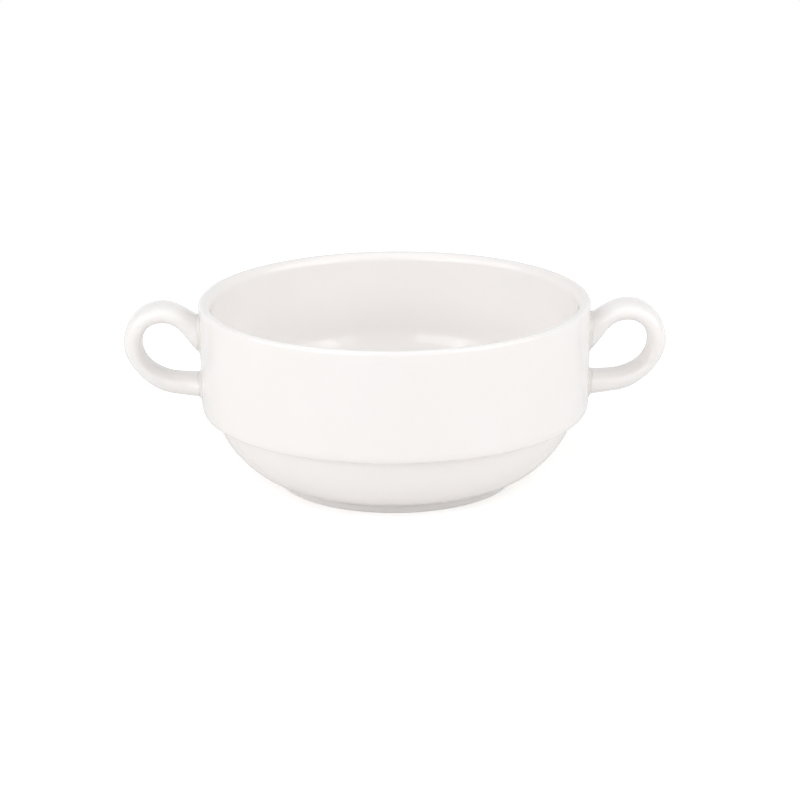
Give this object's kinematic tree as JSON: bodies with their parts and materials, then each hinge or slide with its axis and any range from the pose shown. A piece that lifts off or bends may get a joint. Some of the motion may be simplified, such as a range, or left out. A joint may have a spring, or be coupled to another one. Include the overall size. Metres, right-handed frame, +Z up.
{
  "type": "lug soup bowl",
  "caption": "Round stacking soup bowl of white glazed porcelain with a loop handle on each side, a stepped lower part and a foot ring.",
  "frame": {"origin": "centre of the foot ring's base, on the table", "axes": "+Z up through the bowl, +X from the left handle to the right handle, +Y away from the viewer of the picture"},
  "size_m": [0.1524, 0.11, 0.0522],
  "materials": {
    "glazed_body": "gloss glaze",
    "glazed_handle": "gloss glaze",
    "glazed_slip": "gloss glaze"
  },
  "bodies": {
    "root": {"bowl_body": "glazed_body", "left_handle": "glazed_handle", "right_handle": "glazed_handle", "left_upper_slip_joint": "glazed_slip", "left_lower_slip_joint": "glazed_slip", "right_upper_slip_joint": "glazed_slip", "right_lower_slip_joint": "glazed_slip"}
  },
  "joints": []
}
